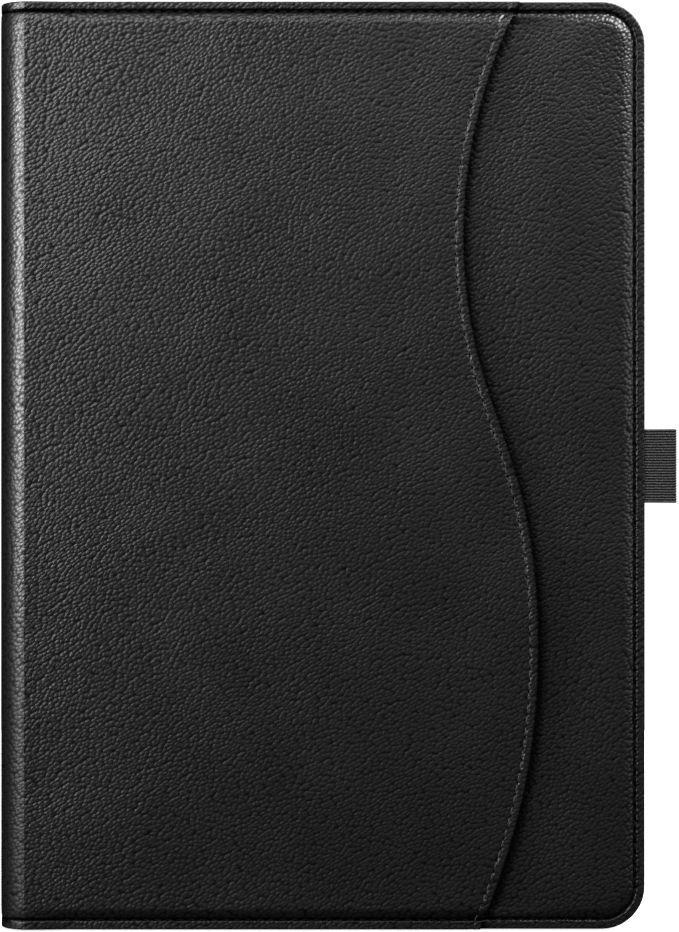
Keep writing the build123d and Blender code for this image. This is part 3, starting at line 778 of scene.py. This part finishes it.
def cut_window(obj, size, radius, y0, y1, flip=False):
    """Cuts the camera window through a cover layer and lays the leather's pattern anew."""
    cutter = rounded_square_cutter(size, radius, y0, y1)
    bpy.context.scene.collection.objects.link(cutter)
    change = obj.modifiers.new("window", "BOOLEAN")
    change.object, change.operation, change.solver = cutter, "DIFFERENCE", "EXACT"
    bpy.context.view_layer.update()
    evaluated = obj.evaluated_get(bpy.context.evaluated_depsgraph_get())
    mesh = bpy.data.meshes.new_from_object(evaluated)
    obj.modifiers.clear()
    obj.data = mesh
    bpy.data.objects.remove(cutter)
    place = np.zeros(len(mesh.vertices) * 3)
    mesh.vertices.foreach_get("co", place)
    x, y, z = place.reshape(-1, 3).T / MM
    layer = mesh.attributes.get("grain") or mesh.attributes.new("grain", "FLOAT_VECTOR", "POINT")
    grain = np.stack([-x - BACK_PATTERN if flip else x, z, y], 1)
    layer.data.foreach_set("vector", grain.astype(np.float32).ravel())


inward = smooth((cover.x - X_CREASE) / 25)
back_out = (
    Y_BACK - relief(cover.d, BACK_RISE, swell=SWELL, crown=0.15 * inward)
    - undulation(cover.x, cover.z, 21) * smooth(cover.d / 5) * smooth((cover.x - X_CREASE) / 10)
)
back_in = np.full(len(cover.d), Y_BACK_IN) + 0.15 * (cover.d < 0.05)
verts, faces = cover.shell(back_out, back_in, front=False)
# The back leather carries the painted shade of the seam groove, partly pressed leather.
back_skin = make("back_skin", verts, faces, LEATHER_MAT,
                 np.stack([-verts[:, 0] - BACK_PATTERN, verts[:, 2], verts[:, 1]], 1), press_and_shade=pressed_and_shade(cover.d))
cut_window(back_skin, CAMERA_HOLE, CAMERA_R, Y_BACK_IN - 2, Y_BACK + 2, flip=True)
settle(back_skin, "back_cover", "leather", "back_leather", "back_foam")

lining_low, lining_high = node_box("back_lining")
soft_edge = edge_drop(flat_cover.d - LINING_INSET, 0.3)
verts, faces = flat_cover.shell(np.full(len(flat_cover.d), lining_high[1]),
                                lining_low[1] + soft_edge, front=False)
back_cloth = make("back_cloth", verts, faces, CLOTH_MAT, laid_flat(verts))
cut_window(back_cloth, CAMERA_HOLE, CAMERA_R, lining_low[1] - 1, lining_high[1] + 1)
settle(back_cloth, "back_cover", "lining", "back_lining")


# ---------------------------------------------------------------- spine and creases
def arc_path(side, rx, ry, n=26, last=math.radians(75)):
    """Curve from the spine to a cover, as points and outward directions.

    It stops a little short of a quarter ellipse, which leaves a soft fold at the cover.
    """
    a = np.linspace(0, last, n)
    points = np.stack([
        X_CREASE - rx * (np.cos(a) - math.cos(last)) / (1 - math.cos(last)),
        side * (SPINE_HALF + ry * np.sin(a) / math.sin(last))], 1)
    along = np.gradient(points, axis=0)
    normal = np.stack([-side * along[:, 1], side * along[:, 0]], 1)
    normal /= np.linalg.norm(normal, axis=1)[:, None]
    normal[0] = (-1.0, 0.0)
    normal[-1] = (0.0, side)
    return points, normal


def flat_path(x, n=7):
    y = np.linspace(SPINE_HALF, -SPINE_HALF, n)
    points = np.stack([np.full(n, x), y], 1)
    return points, np.tile((-1.0, 0.0), (n, 1))


def strip(name, path, thickness, grain_start, material, low_of, press_and_shade=None):
    """Layer that runs along the spine: path across, rows up, with the seam at its ends.

    low_of gives how far its outside lies below the path, for a distance d from the row's
    end and a share t of the way across.
    """
    points, normal = path
    heights = drawn_in(X_CREASE, ROWS, ROW_D)
    t = np.linspace(0, 1, len(points))
    thick = np.interp(t, np.linspace(0, 1, len(thickness)), thickness)
    run = np.concatenate([[0], np.cumsum(np.linalg.norm(np.diff(points, axis=0), axis=1))])
    outer, inner = [], []
    for level, z in zip(ROW_D, heights):
        low = low_of(level, t)
        out = points - normal * low[:, None]
        into = points - normal * np.maximum(thick, low + 0.15)[:, None]
        outer.append(np.column_stack([out, np.full(len(points), z)]))
        inner.append(np.column_stack([into, np.full(len(points), z)]))
    verts, faces = closed_strip(np.array(outer), np.array(inner))
    faces = [tuple(f)[::-1] for f in faces]
    along = np.tile(grain_start - run, len(heights))
    grain = np.stack([along, np.repeat(heights, len(points)), np.zeros(len(along))], 1)
    # Darkening along the seam ends: painted shade of the seam groove, partly pressed leather.
    if press_and_shade is not None:
        press_and_shade = np.repeat(press_and_shade(ROW_D), len(points))
    return make(name, verts, faces, material, np.concatenate([grain, grain + (0, 0, 1)]), press_and_shade=press_and_shade)


def skin_profile(rim, swell, groove):
    """Leather of a crease or of the spine: each value is given at its two long sides."""
    def low_of(d, t):
        fade = smooth(t * 2 if rim[0] > rim[1] else t * 2 - 1)
        r, g = (a + (b - a) * fade for a, b in (rim, groove))
        swollen = swell[0] + (swell[1] - swell[0]) * smooth(t)
        return r * (1 - shoulder(d)) - swollen + g * seam_groove(d) + edge_drop(d, ROLL_R)
    return low_of


def plain_profile(d, t):
    return edge_drop(d, 0.2) + 0 * t


def reversed_path(path):
    return path[0][::-1], path[1][::-1]


# Outward is away from the holder for every layer of the spine. Columns run from the cover to
# the spine at the front crease, so that the leather's pattern carries on round the spine.
front_arc = reversed_path(arc_path(-1, CREASE_RX, CREASE_RY))
arc_length = np.linalg.norm(np.diff(front_arc[0], axis=0), axis=1).sum()
spine_flat = reversed_path(flat_path(X_LEFT))
back_arc = arc_path(1, CREASE_RX, CREASE_RY)
START_FRONT, START_SPINE = X_CREASE, X_CREASE - arc_length
START_BACK = START_SPINE - 2 * SPINE_HALF

# The creases and the spine carry the painted shade of the seam groove at their ends, partly pressed leather.
front_crease = strip("front_crease_skin", front_arc, [LEATHER], START_FRONT, SPINE_MAT,
                     skin_profile((float(panel_rim(X_CREASE)), SPINE_RISE), (SWELL, 0), (1, 0.2)), pressed_and_shade)
spine_skin = strip("spine_skin", spine_flat, [LEATHER], START_SPINE, SPINE_MAT,
                   skin_profile((SPINE_RISE, SPINE_RISE), (0, 0), (0.2, 0.2)), pressed_and_shade)
back_crease = strip("back_crease_skin", back_arc, [LEATHER], START_BACK, SPINE_MAT,
                    skin_profile((SPINE_RISE, BACK_RISE + SWELL), (0, SWELL), (0.2, 1)), pressed_and_shade)

CORE_SHELL = LEATHER + 0.02
front_fill_arc = reversed_path(arc_path(-1, CREASE_RX - CORE_SHELL, CREASE_RY - CORE_SHELL))
back_fill_arc = arc_path(1, CREASE_RX - CORE_SHELL, CREASE_RY - CORE_SHELL)


def core_profile(d, t):
    return 0.9 * (1 - smooth((d - 2.0) / 1.5)) + edge_drop(d, 0.3) + 0 * t


front_core = strip("front_crease_core", front_fill_arc, [3.0, 1.8], START_FRONT, EDGE_MAT, core_profile)
spine_core = strip("spine_core", reversed_path(flat_path(X_LEFT + CORE_SHELL)), [1.8], START_SPINE,
                   EDGE_MAT, core_profile)
back_core = strip("back_crease_core", back_fill_arc, [1.8, 1.7], START_BACK, EDGE_MAT, core_profile)

FRONT_RY = -SPINE_HALF - Y_BASE_IN
BACK_RY = lining_high[1] - SPINE_HALF
LINING_RX = 4.8


def cloth_strip(name, path, start):
    return strip(name, path, [LINING_T], start, CLOTH_MAT, plain_profile)


front_cloth_crease = cloth_strip("front_crease_cloth", reversed_path(arc_path(-1, LINING_RX, FRONT_RY)),
                                 START_FRONT)
spine_cloth = cloth_strip("spine_cloth", reversed_path(flat_path(X_CREASE - LINING_RX)), START_SPINE)
back_cloth_crease = cloth_strip("back_crease_cloth", arc_path(1, LINING_RX, BACK_RY), START_BACK)


def across(obj, node):
    """The piece lies between the spine and a cover: its CAD node is hidden and its transform baked into the
    mesh.
    """
    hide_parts(node)
    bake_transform(obj)


across(front_crease,
       "front_crease_leather")
across(front_core,
       "front_crease_filling")
across(front_cloth_crease,
       "front_crease_lining")
across(back_crease,
       "back_crease_leather")
across(back_core,
       "back_crease_filling")
across(back_cloth_crease,
       "back_crease_lining")
settle(spine_skin, "spine", "leather", "spine_leather")
settle(spine_core, "spine", "padding", "spine_foam")
settle(spine_cloth, "spine", "lining", "spine_lining")

# ---------------------------------------------------------------- pen loop
LOOP_T = 0.75
RIBS = 28
RIB_DEPTH = 0.16
elastic, tree, shader = node_material("ribbed_elastic")
source = add_node(tree, "ShaderNodeAttribute", attribute_name="grain")
place = tree.nodes.new("ShaderNodeSeparateXYZ")
link(tree, source.outputs["Vector"], place.inputs[0])
rib_wave = maths(tree, "ABSOLUTE", maths(tree, "SINE", maths(tree, "MULTIPLY", place.outputs["Y"], math.pi)))
spots = tree.nodes.new("ShaderNodeMapping")
spots.inputs["Scale"].default_value = (2.6, 2.0, 1.0)
link(tree, source.outputs["Vector"], spots.inputs["Vector"])
speck = add_node(tree, "ShaderNodeTexNoise", Scale=1.0, Detail=2.0, Roughness=0.7)
link(tree, spots.outputs["Vector"], speck.inputs["Vector"])
yarn_height = maths(tree, "MULTIPLY_ADD", speck.outputs["Fac"], 1.2, rib_wave)
raise_surface(tree, shader, yarn_height, RIB_DEPTH)
# Colour: painted shade between the ribs, darkest in the grooves, times the random speckle of the yarn.
rib_shade_and_yarn_tone = maths(tree, "MULTIPLY", maths(tree, "POWER", rib_wave, 0.7), speck.outputs["Fac"])
rib_shade_and_yarn_colour = ramp(tree, rib_shade_and_yarn_tone, [
    (0.20, (0.001, 0.001, 0.001)), (0.42, (0.026, 0.026, 0.026)), (0.62, (0.16, 0.16, 0.16))])
link(tree, rib_shade_and_yarn_colour, shader.inputs["Base Color"])
shader.inputs["Roughness"].default_value = 0.7
shader.inputs["Specular IOR Level"].default_value = 0.3


def loop_centreline():
    """Middle of the folded strip: front layer, round the end, back, and into the cover again."""
    t, r = LOOP_T / 2, 0.95
    x0, x1 = X_RIGHT - 3.6, LOOP_HIGH[0] - t
    xi = X_RIGHT + 0.2 + t
    y0, y1 = LOOP_LOW[1] + t, LOOP_HIGH[1] - t
    corners = [(x0, y0), (x1, y0), (x1, y1), (xi, y1), (xi, y0 + LOOP_T + 0.02), (x0, y0 + LOOP_T + 0.02)]
    radii = [0, r, r, r, 0.42, 0]
    path = [np.array(corners[0])]
    for k in range(1, len(corners) - 1):
        p, a, b = (np.array(corners[i], float) for i in (k, k - 1, k + 1))
        u, v = (a - p) / np.linalg.norm(a - p), (b - p) / np.linalg.norm(b - p)
        rad = radii[k]
        centre = p + (u + v) * rad
        for s in np.linspace(0, math.pi / 2, 9):
            path.append(centre + rad * (-v * math.cos(s) - u * math.sin(s)))
    path.append(np.array(corners[-1]))
    dense = [path[0]]
    for p in path[1:]:
        gap = np.linalg.norm(p - dense[-1])
        steps = max(1, int(gap / 0.5))
        start = dense[-1]
        dense += [start + (p - start) * (i + 1) / steps for i in range(steps)]
    return np.array(dense)


line = loop_centreline()
tangent = np.gradient(line, axis=0)
tangent /= np.linalg.norm(tangent, axis=1)[:, None]
out_dir = np.stack([tangent[:, 1], -tangent[:, 0]], 1)
width = LOOP_HIGH[2] - LOOP_LOW[2]
v = np.linspace(0, 1, RIBS * 7 + 1)
rib = np.abs(np.sin(math.pi * v * RIBS)) ** 0.6
selvedge = np.clip(np.minimum(v, 1 - v) * width / 0.35, 0, 1)
half = (LOOP_T / 2 - RIB_DEPTH + RIB_DEPTH * rib) * np.sqrt(1 - (1 - selvedge) ** 2 * 0.9)
length = np.concatenate([[0], np.cumsum(np.linalg.norm(np.diff(line, axis=0), axis=1))])
sway = 0.05 * np.sin(length / 3.1)
outer, inner, grain = [], [], []
for k, s in enumerate(v):
    z = LOOP_LOW[2] + s * width + sway * (0.5 - s)
    outer.append(np.column_stack([line + out_dir * half[k], z]))
    inner.append(np.column_stack([line - out_dir * half[k], z]))
    grain.append(np.column_stack([length, np.full(len(line), s * RIBS), np.zeros(len(line))]))
verts, faces = closed_strip(np.array(outer), np.array(inner))
g = np.array(grain).reshape(-1, 3)
loop = make("elastic_loop", verts, faces, elastic, np.concatenate([g, g + (0, 0, 9)]))
settle(loop, "front_cover", "elastic", "pen_loop")

# ---------------------------------------------------------------- tray liner
liner_low, liner_high = node_box("tray_liner")


def rounded_sheet(low, high, radius, y_face, y_back, step, rings):
    """Closed thin sheet with rounded corners: rings round a grid, as (vertices, faces)."""
    x0, x1, z0, z1 = low[0] + radius, high[0] - radius, low[2] + radius, high[2] - radius
    nx, nz, na = round((x1 - x0) / step), round((z1 - z0) / step), 8
    xs, zs = np.linspace(x0, x1, nx + 1), np.linspace(z0, z1, nz + 1)
    base, normal = [], []
    corner = [(x1, z0, -90), (x1, z1, 0), (x0, z1, 90), (x0, z0, 180)]
    sides = [[(x, z0) for x in xs], [(x1, z) for z in zs],
             [(x, z1) for x in xs[::-1]], [(x0, z) for z in zs[::-1]]]
    facing = [(0, -1), (1, 0), (0, 1), (-1, 0)]
    grid_at = np.arange((nx + 1) * (nz + 1)).reshape(nz + 1, nx + 1)
    lasts = [grid_at[0], grid_at[:, -1], grid_at[-1, ::-1], grid_at[::-1, 0]]
    last = []
    for side, face, (cx, cz, a0), own in zip(sides, facing, corner, lasts):
        for (x, z), index in zip(side, own):
            base.append((x, z)), normal.append(face), last.append(index)
        for k in range(1, na):
            a = math.radians(a0 + 90 * k / na)
            base.append((cx, cz)), normal.append((math.cos(a), math.sin(a))), last.append(own[-1])
    base, normal = np.array(base), np.array(normal)
    gx, gz = np.meshgrid(xs, zs)
    points, index, count = [np.stack([gx.ravel(), gz.ravel()], 1)], [], gx.size
    dist = [np.full(gx.size, radius)]
    for d in rings:
        points.append(base + normal * (radius - d))
        dist.append(np.full(len(base), d))
        index.append(np.arange(count, count + len(base)))
        count += len(base)
    index.append(np.array(last))
    faces = [tuple(f) for f in grid_faces(nz + 1, nx + 1)]
    m = len(base)
    for upper, lower in zip(index[:-1], index[1:]):
        for j in range(m):
            k = (j + 1) % m
            quad = (upper[j], upper[k], lower[k], lower[j])
            faces.append(quad if lower[j] != lower[k] else quad[:3])
    points, dist = np.concatenate(points), np.concatenate(dist)
    n = len(points)
    front = np.column_stack([points[:, 0], y_face + edge_drop(dist, 0.12), points[:, 1]])
    rear = np.column_stack([points[:, 0], np.full(n, y_back), points[:, 1]])
    back = [tuple(i + n for i in f[::-1]) for f in faces]
    rim = [(index[0][j], index[0][(j + 1) % m]) for j in range(m)]
    wall = [(b, a, a + n, b + n) for a, b in rim]
    return np.concatenate([front, rear]), faces + back + wall


verts, faces = rounded_sheet(liner_low, liner_high, LINER_R, liner_low[1], liner_high[1], 5.0,
                             [0, 0.1, 0.4, 2.0])
liner = make("tray_cloth", verts, faces, LINER_MAT, laid_flat(verts))
cut_window(liner, LINER_HOLE, 5.0, liner_low[1] - 1, liner_high[1] + 1)
settle(liner, "back_cover", "lining", "tray_liner")

# ---------------------------------------------------------------- CAD nodes that stay
KEPT = {
    "tray": TRAY_MAT, "camera_bezel": BEZEL_MAT, "front_board": BOARD_MAT, "back_board": BOARD_MAT,
    "spine_board": BOARD_MAT, "tray_bond": BOND_MAT, "magnet_lower": STEEL_MAT,
    "magnet_upper": STEEL_MAT, "keeper_lower": STEEL_MAT, "keeper_upper": STEEL_MAT,
    "power_button": BUTTON_MAT, "volume_up_button": BUTTON_MAT, "volume_down_button": BUTTON_MAT,
}
for name, material in KEPT.items():
    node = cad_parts[name]
    node.data.materials.clear()
    node.data.materials.append(material)

# ---------------------------------------------------------------- stage, light and camera
floor_mat, tree, shader = node_material("pale_floor")
shader.inputs["Base Color"].default_value = (0.86, 0.86, 0.86, 1)
shader.inputs["Roughness"].default_value = 0.8
shader.inputs["Emission Color"].default_value = (1, 1, 1, 1)
shader.inputs["Emission Strength"].default_value = 0.75
floor_mesh = bpy.data.meshes.new("floor")
floor_mesh.from_pydata(
    [(-0.7, -0.7, -0.0004), (0.7, -0.7, -0.0004), (0.7, 0.45, -0.0004), (-0.7, 0.45, -0.0004)],
    [], [(0, 1, 2, 3)])
floor = bpy.data.objects.new("floor", floor_mesh)
floor_mesh.materials.append(floor_mat)
floor.visible_diffuse = floor.visible_glossy = False
bpy.context.scene.collection.objects.link(floor)

world = bpy.data.worlds.new("studio")
bpy.context.scene.world = world
world.use_nodes = True
tree = world.node_tree
background = tree.nodes["Background"]
path = tree.nodes.new("ShaderNodeLightPath")
strength = maths(tree, "MULTIPLY_ADD", path.outputs["Is Camera Ray"], 1.1, 0.01)
link(tree, strength, background.inputs["Strength"])
background.inputs["Color"].default_value = (1, 1, 1, 1)


def area_light(name, place, target, size, energy):
    """Soft rectangular light, sizes in metres."""
    data = bpy.data.lights.new(name, "AREA")
    data.shape = "RECTANGLE"
    data.size, data.size_y = size
    data.energy = energy
    obj = bpy.data.objects.new(name, data)
    obj.location = place
    aim = Vector(target) - Vector(place)
    obj.rotation_mode = "QUATERNION"
    obj.rotation_quaternion = aim.to_track_quat("-Z", "Y")
    bpy.context.scene.collection.objects.link(obj)


def around(azimuth, elevation, distance):
    """Place of a light about the middle of the front, azimuth to the left of the camera."""
    a, e = math.radians(azimuth), math.radians(elevation)
    return (-distance * math.sin(a) * math.cos(e) - 0.03, -distance * math.cos(a) * math.cos(e),
            0.13 + distance * math.sin(e))


area_light("left_low", around(40, -5, 1.0), (-0.05, 0, 0.10), (0.16, 0.5), 0.4)
area_light("left_window", around(45, 10, 0.8), (-0.05, 0, 0.13), (0.14, 0.26), 3.6)
area_light("left_high", around(30, 30, 1.0), (-0.05, 0, 0.13), (0.25, 0.25), 2.15)
area_light("top", around(20, 50, 1.0), (-0.05, 0, 0.13), (0.3, 0.3), 1.7)
area_light("right_high", around(-50, 45, 1.0), (0, 0, 0.13), (0.4, 0.4), 9.0)
area_light("right_low", around(-62, 8, 1.0), (0.05, 0, 0.13), (0.3, 0.3), 0.7)
area_light("rear_left", (-0.15, 1.0, 0.8), (0, 0, 0.13), (0.6, 0.6), 12.0)
area_light("rear_right", (0.7, 0.7, 0.5), (0, 0, 0.13), (0.5, 0.5), 9.0)

VIEW_HEIGHT = 0.2605872  # metres of the front face that fill the picture from top to bottom
CAMERA_DISTANCE = 0.600
camera_data = bpy.data.cameras.new("camera")
camera_data.sensor_width = 36.0
camera_data.lens = 36.0 * CAMERA_DISTANCE / VIEW_HEIGHT
camera = bpy.data.objects.new("camera", camera_data)
camera.location = (0.00038, Y_FRONT * MM - CAMERA_DISTANCE, 0.12986)
camera.rotation_euler = (math.pi / 2, 0, 0)
bpy.context.scene.collection.objects.link(camera)
bpy.context.scene.camera = camera
bpy.context.scene.view_settings.view_transform = "Standard"
